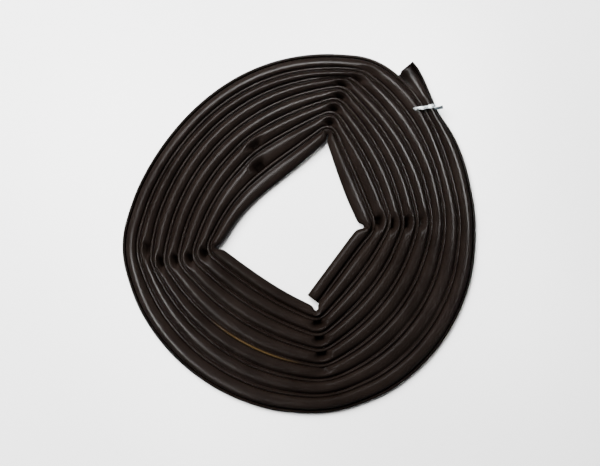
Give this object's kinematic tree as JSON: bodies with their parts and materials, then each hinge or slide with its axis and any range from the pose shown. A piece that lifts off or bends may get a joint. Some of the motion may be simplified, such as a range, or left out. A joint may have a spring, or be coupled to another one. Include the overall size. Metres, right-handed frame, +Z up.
{
  "type": "soaker hose",
  "caption": "Soft thin-walled hose with a small outer rib, wound flat in a four-cornered spiral with plain open ends and held by one twist tie.",
  "frame": {"origin": "under the middle of the wound hose, on the surface that it lies on", "axes": "+Z up out of the flat coil; +Y towards the side with the tie and the outer end, +X to the right seen from above"},
  "size_m": [0.4801, 0.4895, 0.0216],
  "materials": {
    "hose_vinyl": "glossy",
    "tie_foil": "glossy",
    "tie_back": "satin",
    "tie_wire": "drawn wire"
  },
  "bodies": {
    "root": {"hose_coil": "hose_vinyl", "tie_loop": "tie_foil", "tie_loop_wire": "tie_wire", "tie_twist": "tie_foil", "tie_twist_wires": "tie_wire"},
    "outer_end": {"hose_outer_end": "hose_vinyl"},
    "inner_end": {"hose_inner_end": "hose_vinyl"},
    "tail": {"tie_tail": "tie_back", "tie_tail_wire": "tie_wire"}
  },
  "joints": [
    {"name": "outer_end_flex", "type": "hinge", "parent": "root", "child": "outer_end", "pos_m": [0.1739, 0.1776, 0.008], "axis": [0, 0, -1], "range_deg": [0, 25], "stiffness_Nm_per_rad": 0.4},
    {"name": "inner_end_lift", "type": "hinge", "parent": "root", "child": "inner_end", "pos_m": [0.0764, -0.01, 0.008], "axis": [-0.8039, 0.5948, 0], "range_deg": [0, 45]},
    {"name": "tail_bend", "type": "hinge", "parent": "root", "child": "tail", "pos_m": [0.1848, 0.1684, 0.0193], "axis": [0.2588, -0.9659, 0], "range_deg": [-10, 80]}
  ]
}
